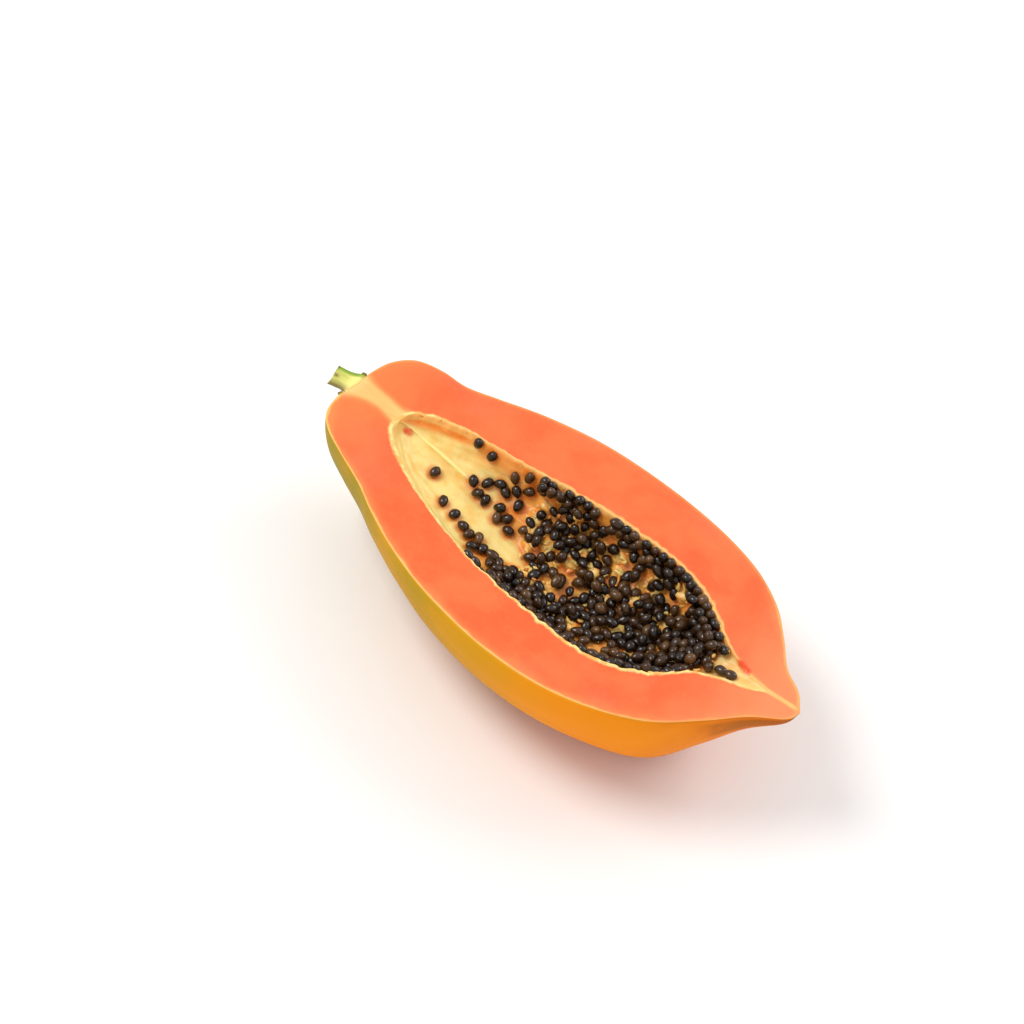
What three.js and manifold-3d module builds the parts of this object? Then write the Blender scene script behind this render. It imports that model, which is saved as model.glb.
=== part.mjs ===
// Half of a ripe papaya, cut lengthwise through its stem, lying on its back with the cut face up.
// Units are millimetres and +Z is up. +X runs from the stem to the blossom tip.
// The origin is the centre of the small flat spot on which the fruit rests.
import * as THREE from "three";
import { mergeVertices } from "three/addons/utils/BufferGeometryUtils.js";
import Module from "manifold-3d";

const wasm = await Module();
wasm.setup();

// Driving dimensions
const CUT_HEIGHT = 64.6; // cut face above the surface that the skin lies on, pressed flat there
const REST_SPOT = { x: 139, y: -8.8 }; // centre of the flat spot, from the stem scar
const CONTACT_GAP = 0.3; // clearance between pieces that touch
const SEED = { length: 5.8, width: 4.8 }; // a ripe seed in its thin wet coat
const SEED_SPACING = 5.6;
const SEED_TILT = 0.35; // largest lean of a seed's long axis out of the lining, in radians
const SEED_BED = { low: 0.8, high: 2.6, inset: 1.5 }; // lower seeds, as one thin layer over the lining
const SEED_LIFT = { least: 0.6, most: 1.4 }; // seed centres above the top of the bed
const LONE_SEED_HEIGHT = 1; // centre of a seed that is stuck to the lining

// Outline of the cut face, [x, y] from the stem scar. Y is measured from the line stem to tip.
// Far and near side have matching points, and keel points are [x, depth below the cut face].
const BODY = {
  far: [
    [0, 0], [-0.3, 11], [2, 22.5], [9, 31.5], [21, 35.2], [35, 35.8], [50, 41], [72, 49],
    [100, 55.2], [132, 56.6], [164, 54], [190, 47.5], [209, 37], [222, 24], [232.5, 11.5],
    [243, 4.5], [249.5, -4],
  ],
  near: [
    [0, 0], [-1.2, -10], [1.5, -22], [9, -30], [23, -37], [39, -44], [54, -52.5], [75, -62],
    [100, -69.5], [132, -74], [162, -72.5], [187, -65], [207, -53.5], [222, -37.5], [235, -21.5],
    [247, -11], [249.5, -4],
  ],
  keel: [
    [0, 0], [-0.6, 11], [1.5, 24], [9, 36], [22, 41], [37, 44.5], [52, 48], [73, 53.5],
    [99, 62.3], [127, 65.8], [157, 65.8], [184, 64], [205, 58], [221, 37.5], [233, 20.5],
    [245, 8], [249.5, 0],
  ],
};
const SEED_CAVITY = {
  far: [
    [27, -2.5], [29.5, 5], [39, 11], [56, 16], [80, 18.5], [108, 22.5], [138, 25], [164, 24],
    [182, 19.5], [195, 12], [205, 4.5], [213, 0], [223, -3], [234, -5],
  ],
  near: [
    [27, -2.5], [29.5, -10], [40, -18], [57, -27.5], [82, -36.5], [108, -42.5], [138, -45],
    [163, -45.5], [181, -40.5], [194, -31], [204, -19.5], [213, -14.5], [224, -10.5], [234, -5],
  ],
  keel: [
    [27, 0], [30, 6], [40, 13], [57, 19.5], [81, 24.5], [108, 28.5], [138, 30.5], [163, 29],
    [181, 24], [193, 16.5], [203, 9], [213, 4], [223, 1.4], [234, 0],
  ],
};
// Angles run from the far rim (0) under the fruit to the near rim (180).
const RIDGES = {
  angles: [54, 126], // the two seed-bearing ridges of the lining in this half
  height: 0.075, // share of the cavity's radius
  halfWidth: 15, // degrees
  steepness: 1.6,
  run: 1.15, // above 1 lets the ridges die out before the tip
};
const CAVITY_FULLNESS = 0.86; // below 1 gives steep sides and a flatter floor
const BODY_RIBS = { count: 5, height: 0.008 };

// Where the seeds start, as [angle, x]: the lining is bare on the stem side of this line.
const SEED_FRONT = [
  [0, 95], [4, 88], [17, 82], [35, 76], [45, 71], [52, 65], [58, 67], [62, 76], [68, 86], [72, 97],
  [80, 106], [86, 112], [90, 102], [93, 84], [96, 74], [99, 76], [104, 84], [112, 90], [135, 91],
  [180, 93],
];
const SEED_END = [[0, 205], [60, 204], [90, 207], [98, 211], [108, 208], [120, 203], [180, 192]];
const SEED_ROWS = [
  { side: "far", from: 3, to: 50 },
  { side: "floor", from: 50, to: 114 },
  { side: "near", from: 114, to: 176 },
];
const SEED_STRETCHES = [
  { end: "stem", low: 0, high: 148 },
  { end: "tip", low: 148, high: 250 },
];
// Single seeds stuck to the bare lining, as [x, angle, turn of the long axis in degrees].
const LONE_SEEDS = [
  [60, 5, 65], [68, 10, 20], [50.5, 84, 35], [62.5, 97, 75], [70, 95.5, 20],
];

const STEM = {
  centre: [[-10.6, -2.9], [-9, -2.4], [-6, -1.7], [-3.2, -1.2], [-1, -0.9], [1.5, -0.8]],
  radius: [5.6, 5.3, 5.2, 6, 7.4, 7.6],
  pith: { radius: 1.7, depth: 1.6, taper: 0.7, below: 2.35 },
  stations: 12,
  sides: 12,
};
// How far in from its two tips each long surface starts and ends, as a share of its length
const BLUNT_TIPS = { body: 0.012, cavity: 0.02 };
const TOOL_RISE = 12; // how far a cutting solid stands out above the cut face
const FLOOR_SIZE = 200;
const SMALL_STEP = 0.004; // a short way along a surface, as a share of its length or in radians

const radians = THREE.MathUtils.degToRad;

// Random numbers from 0 to 1, the same on every run.
function randomFrom(start) {
  let state = start;
  return () => {
    state = (state + 0x6d2b79f5) | 0;
    let t = Math.imul(state ^ (state >>> 15), 1 | state);
    t = (t + Math.imul(t ^ (t >>> 7), 61 | t)) ^ t;
    return ((t ^ (t >>> 14)) >>> 0) / 4294967296;
  };
}

function curveThrough(points) {
  const places = points.map(([a, b]) => new THREE.Vector3(a, b, 0));
  return new THREE.CatmullRomCurve3(places, false, "catmullrom", 0.5);
}

function tableAt(table, key) {
  const next = table.findIndex(([k]) => k >= key);
  if (next <= 0) return table[Math.max(next, 0)][1];
  const [[k0, v0], [k1, v1]] = [table[next - 1], table[next]];
  return v0 + ((v1 - v0) * (key - k0)) / (k1 - k0);
}

// A hollow or body below the cut face: surface(u, angle) goes from end to end and from rim to rim.
function boatSurface({ far, near, keel }, fullness, relief) {
  const [farCurve, nearCurve, keelCurve] = [far, near, keel].map(curveThrough);
  return (u, angle) => {
    const [f, n, k] = [farCurve, nearCurve, keelCurve].map((c) => c.getPoint(u));
    const across = Math.sign(Math.cos(angle)) * Math.abs(Math.cos(angle)) ** fullness;
    const down = Math.abs(Math.sin(angle)) ** fullness;
    const centre = f.clone().add(n).multiplyScalar(0.5);
    const half = f.clone().sub(n).multiplyScalar(0.5 * across);
    const r = relief(u, angle);
    return new THREE.Vector3(
      centre.x + r * (half.x + (k.x - centre.x) * down),
      centre.y + r * half.y,
      -r * k.y * down,
    );
  };
}

function ribRelief(u, angle) {
  return 1 + BODY_RIBS.height * Math.sin(angle) ** 2 * Math.cos(BODY_RIBS.count * angle);
}

function ridgeRelief(u, angle) {
  const degrees = THREE.MathUtils.radToDeg(angle);
  const fade = Math.sqrt(Math.sin(Math.PI * Math.min(1, u * RIDGES.run)));
  return RIDGES.angles.reduce((r, ridge) => {
    const away = Math.min(1, Math.abs(degrees - ridge) / RIDGES.halfWidth);
    return r - RIDGES.height * fade * (1 - away) ** RIDGES.steepness;
  }, 1);
}

const bodySurface = boatSurface(BODY, 1, ribRelief);
const cavitySurface = boatSurface(SEED_CAVITY, CAVITY_FULLNESS, ridgeRelief);

// The cavity's surface with its direction into the hollow.
function liningAt(u, angle) {
  const place = cavitySurface(u, angle);
  const [back, on] = [Math.max(u - SMALL_STEP, 0), Math.min(u + SMALL_STEP, 1)];
  const along = cavitySurface(on, angle).sub(cavitySurface(back, angle));
  const [under, over] = [Math.max(angle - SMALL_STEP, 0), Math.min(angle + SMALL_STEP, Math.PI)];
  const around = cavitySurface(u, over).sub(cavitySurface(u, under));
  const inward = new THREE.Vector3().crossVectors(around, along).normalize();
  return { place, along: along.normalize(), inward };
}

function spread(from, to, count) {
  return Array.from({ length: count }, (_, i) => from + ((to - from) * i) / (count - 1));
}

function solidFrom(geometry) {
  const bare = geometry.clone();
  bare.deleteAttribute("normal");
  bare.deleteAttribute("uv");
  const merged = mergeVertices(bare, 1e-4);
  return new wasm.Manifold(
    new wasm.Mesh({
      numProp: 3,
      vertProperties: new Float32Array(merged.attributes.position.array),
      triVerts: new Uint32Array(merged.index.array),
    }),
  );
}

function geometryFrom(solid) {
  const { vertProperties, triVerts } = solid.getMesh();
  const geometry = new THREE.BufferGeometry()
    .setAttribute("position", new THREE.BufferAttribute(vertProperties, 3))
    .setIndex(new THREE.BufferAttribute(triVerts, 1));
  geometry.computeVertexNormals();
  return geometry;
}

// A closed solid through rings of points that all have the same number of points.
function loft(rings) {
  const size = rings[0].length;
  const ends = [rings[0], rings.at(-1)].map((ring) =>
    ring.reduce((sum, p) => sum.add(p), new THREE.Vector3()).divideScalar(size),
  );
  const points = [...rings.flat(), ...ends];
  const [first, last] = [points.length - 2, points.length - 1];
  const faces = [];
  for (let i = 0; i < size; i += 1) {
    const j = (i + 1) % size;
    faces.push(first, i, j);
    for (let row = 0; row < rings.length - 1; row += 1) {
      const [a, b] = [row * size, (row + 1) * size];
      faces.push(a + i, b + j, a + j, a + i, b + i, b + j);
    }
    const tail = (rings.length - 1) * size;
    faces.push(last, tail + j, tail + i);
  }
  const geometry = new THREE.BufferGeometry().setFromPoints(points).setIndex(faces);
  return solidFrom(geometry);
}

// Rings of the fruit's body from the stem scar to the tip, each closed across the cut face.
function makeBody() {
  const [stations, sides] = [40, 21];
  const angles = spread(0, Math.PI, sides);
  const places = spread(BLUNT_TIPS.body, 1 - BLUNT_TIPS.body, stations);
  return loft(places.map((u) => angles.map((a) => bodySurface(u, a))));
}

// A ring from rim to rim, closed above the cut face so that the solid cuts cleanly through it.
function closedAbove(ring) {
  return [...ring, ring.at(-1).clone().setZ(TOOL_RISE), ring[0].clone().setZ(TOOL_RISE)];
}

// The seed cavity as a solid that stands out above the cut face, taken in by a margin.
function makeCavityTool(margin) {
  const [stations, sides] = [32, 25];
  const angles = spread(0, Math.PI, sides);
  const rings = spread(BLUNT_TIPS.cavity, 1 - BLUNT_TIPS.cavity, stations).map((u) =>
    angles.map((a) => {
      const { place, inward } = liningAt(u, a);
      return place.addScaledVector(inward, margin);
    }),
  );
  return loft(rings.map(closedAbove));
}

// One seed as a few-sided egg whose long axis lies in the lining, turned by some angle.
function makeSeed({ place, along, inward }, height, turn, tilt) {
  const radius = 0.53; // of the few-sided shape that has the volume of an egg one unit long
  const geometry = new THREE.IcosahedronGeometry(radius, 0);
  const axis = along.clone().applyAxisAngle(inward, turn);
  const side = new THREE.Vector3().crossVectors(inward, axis);
  axis.applyAxisAngle(side, tilt);
  const upright = new THREE.Vector3().crossVectors(axis, side);
  const frame = new THREE.Matrix4().makeBasis(
    axis.multiplyScalar(SEED.length),
    side.multiplyScalar(SEED.width),
    upright.multiplyScalar(SEED.width),
  );
  geometry.applyMatrix4(frame);
  const centre = place.clone().addScaledVector(inward, height);
  geometry.translate(centre.x, centre.y, centre.z);
  return solidFrom(geometry);
}

// The place along the cavity, from 0 to 1, where its lining passes a given x.
function stationAt(x, angle) {
  const halvings = 24;
  let [low, high] = [0, 1];
  for (let i = 0; i < halvings; i += 1) {
    const middle = (low + high) / 2;
    if (cavitySurface(middle, angle).x < x) low = middle;
    else high = middle;
  }
  return (low + high) / 2;
}

// Where a patch of seeds starts and ends along the fruit at an angle, in from its edge.
function patchSpan({ low, high }, degrees, inset) {
  const start = Math.max(tableAt(SEED_FRONT, degrees), low) + inset;
  const end = Math.min(tableAt(SEED_END, degrees), high) - inset;
  return [start, end];
}

// A thin bed along the lining, which the seeds of one patch stand out of.
function makeSeedBed(patch) {
  const { low, high, inset } = SEED_BED;
  const [stations, sides] = [7, 5];
  const angles = spread(patch.from + inset, patch.to - inset, sides);
  const layer = (share, degrees, depth) => {
    const [start, end] = patchSpan(patch, degrees, inset);
    const u = stationAt(start + (end - start) * share, radians(degrees));
    const { place, inward } = liningAt(u, radians(degrees));
    return place.addScaledVector(inward, depth);
  };
  const rings = spread(0, 1, stations).map((share) => [
    ...angles.map((d) => layer(share, d, low)),
    ...[...angles].reverse().map((d) => layer(share, d, high)),
  ]);
  return loft(rings);
}

// Seeds scattered over one patch of the lining, each at least one spacing from the others.
function scatterSeeds(patch, random) {
  const tries = 3000;
  const edge = (SEED.length + CONTACT_GAP) / 2;
  const kept = [];
  for (let i = 0; i < tries; i += 1) {
    const degrees = patch.from + (patch.to - patch.from) * random();
    const [start, end] = patchSpan(patch, degrees, edge);
    const u = stationAt(start + (end - start) * random(), radians(degrees));
    const lining = liningAt(u, radians(degrees));
    const distance = (place) => place.distanceTo(lining.place);
    const offSide = [patch.from, patch.to].some((d) => distance(cavitySurface(u, radians(d))) < edge);
    if (offSide || kept.some(({ place }) => distance(place) < SEED_SPACING)) continue;
    const [turn, tilt] = [Math.PI * random(), SEED_TILT * (2 * random() - 1)];
    kept.push({ ...lining, turn, tilt, lift: random() });
  }
  return kept;
}

function makeSeedPatch(patch, random, hollow) {
  const { least, most } = SEED_LIFT;
  const seeds = scatterSeeds(patch, random).map((s) =>
    makeSeed(s, SEED_BED.high + least + (most - least) * s.lift, s.turn, s.tilt),
  );
  const solid = wasm.Manifold.union([makeSeedBed(patch), ...seeds]).intersect(hollow);
  return solid.decompose().sort((a, b) => b.volume() - a.volume())[0];
}

function makeLoneSeeds() {
  return LONE_SEEDS.map(([x, degrees, turn]) => {
    const lining = liningAt(stationAt(x, radians(degrees)), radians(degrees));
    return makeSeed(lining, LONE_SEED_HEIGHT, radians(turn), 0);
  });
}

// Rings of the halved stem from its cut end to its foot in the fruit, grown by a margin.
function stemRings(margin) {
  const centres = curveThrough(STEM.centre);
  const radii = curveThrough(STEM.radius.map((r) => [r, 0]));
  const angles = spread(0, Math.PI, STEM.sides);
  return spread(0, 1, STEM.stations).map((u, i, all) => {
    const radius = radii.getPoint(u).x + margin;
    const heading = centres.getTangent(u);
    const across = new THREE.Vector3(-heading.y, heading.x, 0);
    const centre = centres.getPoint(u);
    if (i === all.length - 1) centre.addScaledVector(heading, margin);
    return angles.map((a) =>
      centre.clone().addScaledVector(across, radius * Math.cos(a)).setZ(-radius * Math.sin(a)),
    );
  });
}

// The halved stem: a short stub with a flared foot, a wider cut end and an open pith.
function makeStem() {
  const [endX, endY] = STEM.centre[0];
  const { radius, depth, taper, below } = STEM.pith;
  const pith = new THREE.CylinderGeometry(radius, radius * taper, depth * 2, STEM.sides);
  pith.rotateZ(Math.PI / 2).translate(endX, endY, -below);
  return loft(stemRings(0)).subtract(solidFrom(pith));
}

// What lies below the surface that the fruit rests on.
function makeFloor() {
  const floor = new THREE.BoxGeometry(FLOOR_SIZE, FLOOR_SIZE, FLOOR_SIZE);
  floor.translate(REST_SPOT.x, REST_SPOT.y, -CUT_HEIGHT - FLOOR_SIZE / 2);
  return solidFrom(floor);
}

const MATERIALS = {
  flesh: new THREE.MeshStandardMaterial({ color: 0xfb7a3c, roughness: 0.45, metalness: 0 }),
  stem: new THREE.MeshStandardMaterial({ color: 0xc9cf76, roughness: 0.7, metalness: 0 }),
  seeds: new THREE.MeshStandardMaterial({ color: 0x1d1410, roughness: 0.3, metalness: 0 }),
};

function piece(name, solid, material) {
  const mesh = new THREE.Mesh(geometryFrom(solid), material);
  mesh.name = name;
  mesh.position.set(-REST_SPOT.x, -REST_SPOT.y, CUT_HEIGHT);
  return mesh;
}

const hollow = makeCavityTool(CONTACT_GAP);
const stemSeat = loft(stemRings(CONTACT_GAP).map(closedAbove));
const half = makeBody().subtract(makeCavityTool(0)).subtract(stemSeat).subtract(makeFloor());

const papaya = new THREE.Group();
papaya.add(piece("fruit_half", wasm.Manifold.union([half, ...makeLoneSeeds()]), MATERIALS.flesh));
papaya.add(piece("stem", makeStem(), MATERIALS.stem));
const random = randomFrom(1);
for (const row of SEED_ROWS) {
  for (const stretch of SEED_STRETCHES) {
    const patch = makeSeedPatch({ ...row, ...stretch }, random, hollow);
    papaya.add(piece(`seeds_${row.side}_${stretch.end}`, patch, MATERIALS.seeds));
  }
}

export default papaya;
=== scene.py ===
"""A halved papaya on its back: moist orange flesh, a pale seed cavity and a mass of black seeds.

Shapes are worked out in millimetres from the stem scar, with the cut face at height 0, and go
into the frame in metres.
"""
import math

import bpy
import numpy as np
from mathutils import Matrix, Vector


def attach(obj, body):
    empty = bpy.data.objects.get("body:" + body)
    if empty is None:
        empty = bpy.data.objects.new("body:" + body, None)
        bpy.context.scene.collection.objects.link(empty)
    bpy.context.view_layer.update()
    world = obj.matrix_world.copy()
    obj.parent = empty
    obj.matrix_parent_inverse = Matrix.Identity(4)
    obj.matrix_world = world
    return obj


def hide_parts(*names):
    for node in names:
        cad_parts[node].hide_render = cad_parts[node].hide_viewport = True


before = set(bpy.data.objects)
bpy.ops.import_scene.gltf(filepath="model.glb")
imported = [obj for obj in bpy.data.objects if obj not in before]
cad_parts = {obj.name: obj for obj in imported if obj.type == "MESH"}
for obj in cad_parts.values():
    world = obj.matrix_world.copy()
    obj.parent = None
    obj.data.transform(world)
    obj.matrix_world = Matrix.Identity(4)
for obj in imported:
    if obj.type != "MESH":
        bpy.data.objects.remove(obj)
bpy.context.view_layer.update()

MM = 0.001
SCAR = Vector((-139.0, 8.8, 64.6))  # the stem scar, from the centre of the flat spot it rests on

# Outline of the cut face, [x, y] from the stem scar; keel points are [x, depth].
BODY = {
    "far": [
        (0, 0), (-0.3, 11), (2, 22.5), (9, 31.5), (21, 35.2), (35, 35.8), (50, 41), (72, 49),
        (100, 55.2), (132, 56.6), (164, 54), (190, 47.5), (209, 37), (222, 24), (232.5, 11.5),
        (243, 4.5), (249.5, -4),
    ],
    "near": [
        (0, 0), (-1.2, -10), (1.5, -22), (9, -30), (23, -37), (39, -44), (54, -52.5), (75, -62),
        (100, -69.5), (132, -74), (162, -72.5), (187, -65), (207, -53.5), (222, -37.5),
        (235, -21.5), (247, -11), (249.5, -4),
    ],
    "keel": [
        (0, 0), (-0.6, 11), (1.5, 24), (9, 36), (22, 41), (37, 44.5), (52, 48), (73, 53.5),
        (99, 62.3), (127, 65.8), (157, 65.8), (184, 64), (205, 58), (221, 37.5), (233, 20.5),
        (245, 8), (249.5, 0),
    ],
}
CAVITY = {
    "far": [
        (27, -2.5), (29.5, 5), (39, 11), (56, 16), (80, 18.5), (108, 22.5), (138, 25), (164, 24),
        (182, 19.5), (195, 12), (205, 4.5), (213, 0), (223, -3), (234, -5),
    ],
    "near": [
        (27, -2.5), (29.5, -10), (40, -18), (57, -27.5), (82, -36.5), (108, -42.5), (138, -45),
        (163, -45.5), (181, -40.5), (194, -31), (204, -19.5), (213, -14.5), (224, -10.5),
        (234, -5),
    ],
    "keel": [
        (27, 0), (30, 6), (40, 13), (57, 19.5), (81, 24.5), (108, 28.5), (138, 30.5), (163, 29),
        (181, 24), (193, 16.5), (203, 9), (213, 4), (223, 1.4), (234, 0),
    ],
}
RIDGE_ANGLES = (54, 126)  # degrees from the far rim, under the fruit, to the near rim
RIDGE_HEIGHT = 0.075  # share of the cavity's radius
RIDGE_HALF_WIDTH = 15  # degrees
CAVITY_FULLNESS = 0.86  # below 1 gives steep sides and a flatter floor
BODY_RIBS = (5, 0.008)  # number round the whole fruit, and height as a share of its radius

# Where the seeds start and end, as (degrees, x)
SEED_FRONT = [
    (0, 94), (4, 92), (12, 91), (23, 93), (34, 95), (45, 93), (54, 96), (62, 93), (68, 96),
    (72, 97), (80, 106), (86, 112), (90, 102), (93, 95), (96, 93), (99, 92), (104, 91),
    (112, 98), (121, 105), (131, 99), (140, 107), (150, 101), (160, 92), (168, 97), (180, 93),
]
SEED_END = [
    (0, 211), (20, 210), (40, 208), (60, 206), (90, 208), (98, 210), (108, 207), (120, 204),
    (132, 200), (145, 203), (158, 195), (170, 197), (180, 190),
]
SEED_SIZE = (6.0, 4.6, 4.3)  # a ripe seed in its thin wet coat
SEED_SPACING = 4.7
SEED_COUNT = 455
SEED_TURNS = (1.2, 176)  # degrees from the far rim
SEED_HEIGHTS = (2.2, 7.5)  # lowest and highest seed centres above the lining
START_HEIGHT = 5.0  # highest seed centre before the seeds settle
NEAR_HEIGHT = 3.2  # highest seed centre on the near wall
LONE_HEIGHT = 1.8  # seed centre of a single seed
SEED_HEADROOM = 1.3  # least depth of a seed's centre below the cut face
SETTLING_ROUNDS = 90
SETTLED_DIGITS = 5
SEED_PUSH = 0.35  # share of an overlap that each round takes away
GAP_PUSH = 0.5
RIM_DRIFT = 0.07  # how far seeds on the far wall move up to the rim each round
SINKING = 0.05  # how far each seed sinks to the lining each round
# Places in the mass of seeds where pulp shows, as (x, degrees, radius in mm)
GAPS = [
    (99, 29, 3.8), (111, 55, 5.4), (109, 87, 5.2), (123, 86, 4.6), (143, 98, 5.4), (134, 54, 4.4),
    (157, 54, 5.0), (156, 38, 5.4), (184, 59, 5.0), (190, 60, 4.2), (191, 95, 4.2), (172, 93, 4.2),
    (114, 16, 3.4), (132, 32, 3.8), (157, 86, 4.0),
]
SIDES = {"far": (3, 50), "floor": (50, 114), "near": (114, 176)}
STRETCHES = {"stem": (0, 148), "tip": (148, 250)}
# Single seeds stuck to the lining in front of the mass, as (x, degrees, turn of the long axis)
LONE_SEEDS = [
    (59.5, 4.5, 80), (67.5, 10.5, 60), (50.3, 84, 85), (62.6, 97, 135), (70.2, 95.5, 80),
    (66.2, 54, 130), (70.8, 60.5, 35), (71.4, 45.5, 70), (76.5, 35, 20), (80.6, 40.5, 150),
    (75.5, 61, 100), (82.8, 55.5, 35), (84.3, 68.5, 120), (88.3, 61.5, 60), (92, 71, 10),
    (88.5, 44.5, 95), (84.6, 31, 140), (81.1, 17.5, 115), (89.5, 23, 30), (87.3, 8, 80),
    (76.8, 96.5, 25), (81.2, 98, 75), (85.6, 93.5, 130), (86.3, 105, 50), (90.4, 98, 100),
    (212.6, 97, 165), (217.2, 100, 175),
]
# Where the painted shade under the seeds starts, orange on the lining, as (degrees, x)
SEED_SHADE_FRONT = [
    (0, 92), (17, 88), (35, 84), (52, 82), (58, 84), (68, 92), (80, 104), (86, 110), (90, 100),
    (96, 88), (104, 90), (135, 98), (180, 100),
]
# Many smaller gaps: how many, and where they may be, as (count, least x, most x, degrees)
SMALL_GAPS = [
    (14, 98, 150, (35, 72)), (9, 98, 150, (88, 106)), (8, 150, 200, (55, 106)),
    (7, 100, 195, (4, 40)),
]
SMALL_GAP_RADIUS = (2.7, 3.6)
# Shreds of pulp: in each gap, loose among the seeds, and along the torn rim
GAP_SHREDS = 3
LOOSE_SHREDS = 110
RIM_SHREDS = [  # first x, last x, degrees, spacing
    (34, 58, 3, 6), (62, 94, 4, 6), (96, 206, 2, 3.2), (90, 126, 178, 6), (126, 204, 178, 2.8),
]

# How the fruit's surface is divided
STATIONS = 300
SKIN_SIDES = 100
LINING_SIDES = 150
FINE_STATIONS = 2001  # for matching the hollow to the outline
LINE_STATIONS = 400  # for finding a place on the lining
HOLLOW_LEAN = 0.75  # how far the hollow's stations follow the outline's, from 0 to 1
SKIN_RADIUS = 60  # about the skin's mean radius
# Relief of each surface, as size and height in mm and the seed of its waves
SKIN_LUMPS = (38, 0.35, 7)
LINING_WRINKLES = (4.2, 0.18, 8)
LINING_DENTS = (13, 0.35, 9)
FACE_WAVES = (16, 0.1, 10)
CREST_WIDTH = 2.6  # degrees
# Places across the cut face from the hollow (0) to the skin (1), closer at both edges
FACE_SHARES = [
    0, 0.008, 0.02, 0.04, 0.07, 0.11, 0.16, 0.22, 0.28, 0.34, 0.4, 0.46, 0.52, 0.58, 0.64,
    0.7, 0.76, 0.82, 0.87, 0.91, 0.94, 0.96, 0.975, 0.985, 0.993, 1,
]
# The pale core and the streak to the tip, as (x, middle y, half width)
CORE_BAND = [(-2, -1, 11), (3, -0.4, 8.6), (9, 0.2, 6.4), (16, 0.4, 5.6), (24, -0.8, 6.0),
             (29, -1.2, 7.4), (34, -1.5, 9)]
TAIL_STREAK = [(204, -5.5, 8), (215, -5.4, 6), (223, -4.9, 3.4), (232, -4.8, 1.8),
               (240, -3.8, 1.4), (251, -3.4, 1.6)]
# How strong the pale line by the skin is, and how that changes towards the tip
PALE_EDGE = {"far": (0.3, 0.3), "near": (0.9, -0.4)}
LIP_SLOPE = 1.0  # how far the hollow's walls lean in below the rim, in mm
# Red spots where the stem's strands end, and the red slit in the tail, as (x, degrees)
PIT = [(30.6, 74), (31.6, 68)]
RED_SLIT = [(216.5, 0), (218.5, 0), (220.5, 0)]
# How wide the pale rim is, and how far it is torn in and out, as [x, width, tear] on each side
RIM = {
    "far": [(26, 1.6, 0.2), (34, 1.9, 0.45), (52, 1.8, 0.45), (60, 0.8, 0.25), (95, 0.8, 0.3),
            (104, 1.3, 0.5), (200, 1.4, 0.5), (212, 1.0, 0.2), (240, 0.9, 0.1)],
    "near": [(26, 2.4, 0.1), (40, 3.0, 0.2), (52, 1.6, 0.2), (64, 0.9, 0.2), (120, 1.0, 0.4),
             (140, 1.6, 0.5), (190, 1.7, 0.55), (205, 1.2, 0.3), (240, 1.0, 0.1)],
}

STEM_CENTRE = [(-10.6, -2.9), (-9, -2.4), (-6, -1.7), (-3.2, -1.2), (-1, -0.9), (1.5, -0.8)]
STEM_RADIUS = [5.6, 5.3, 5.2, 6, 7.4, 7.6]
PITH = (-10.6, -2.0)  # middle of the brown pith on the cut
PITH_SIZE = (1.5, 1.2)
# Rings of the cut end, as (share of its radius, brown of the pith)
END_RINGS = [(0.75, 0.0), (0.45, 0.15), (0.3, 0.9), (0.15, 1.0)]
PITH_DEPTH = 0.8  # how far the inner rings step in
# Knobs where bracts broke off at the foot, as (centre, size)
KNOBS = [((-2.0, 7.6, -0.9), (2.8, 1.9, 1.6)), ((-1.7, -9.0, -1.2), (2.6, 2.2, 2.0))]

# The photograph's view
LENS = 85.0
SENSOR = 36.0
VIEW_DISTANCE = 1051.7
VIEW_AZIMUTH, VIEW_ELEVATION, VIEW_ROLL = 27.87, 48.25, 14.4
VIEW_AIM = Vector((96.3, -7.3, 0.0))  # from the stem scar, on the cut face
VIEW_REACH = 20  # metres

# The studio, in metres and watts
FLOOR_HALF = 4
FLOOR_DROP = 0.0002
SKY_STRENGTH = 0.68
LIGHT_AIM = Vector((0, 0, 0.04))
LIGHTS = {  # place, size, power and colour
    "key": ((-0.55, -0.35, 0.95), 0.5, 6.5, (1, 0.98, 0.95)),
    "fill": ((0.35, 0.75, 0.8), 0.8, 4.0, (1, 1, 1)),
}

SLOPE_STEP = 0.004  # step in station or in radians that slopes are taken over
FLESH, LINING, SKIN = range(3)  # the fruit's materials
MIX_INPUTS = (0, 6, 7)  # sockets of a colour mix: its share and two colours
MIX_OUTPUT = 2


def srgb(red, green, blue):
    """A display colour, 0 to 255, as the linear colour that shaders take."""
    def linear(value):
        value /= 255
        return value / 12.92 if value <= 0.04045 else ((value + 0.055) / 1.055) ** 2.4
    return (linear(red), linear(green), linear(blue), 1.0)


def curve_through(points, u):
    """Points of a smooth curve through evenly numbered points, for u from 0 to 1."""
    p = np.asarray(points, float)
    padded = np.vstack([2 * p[0] - p[1], p, 2 * p[-1] - p[-2]])
    place = np.clip(u, 0, 1) * (len(p) - 1)
    first = np.minimum(place.astype(int), len(p) - 2)
    w = (place - first)[:, None]
    a, b, c, d = (padded[first + k] for k in range(4))
    into, out = (c - a) / 2, (d - b) / 2
    return (b + into * w + (3 * (c - b) - 2 * into - out) * w**2
            + (2 * (b - c) + into + out) * w**3)


def boat(shape, u, angle, fullness, relief):
    """A body or hollow below the cut face, at pairs of a station and an angle in radians."""
    far, near, keel = (curve_through(shape[side], u) for side in ("far", "near", "keel"))
    across = np.sign(np.cos(angle)) * np.abs(np.cos(angle))**fullness
    down = np.abs(np.sin(angle))**fullness
    centre, half = (far + near) / 2, (far - near) / 2
    x = centre[:, 0] + relief * (half[:, 0] * across + (keel[:, 0] - centre[:, 0]) * down)
    y = centre[:, 1] + relief * half[:, 1] * across
    return np.stack([x, y, -relief * keel[:, 1] * down], -1)


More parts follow.
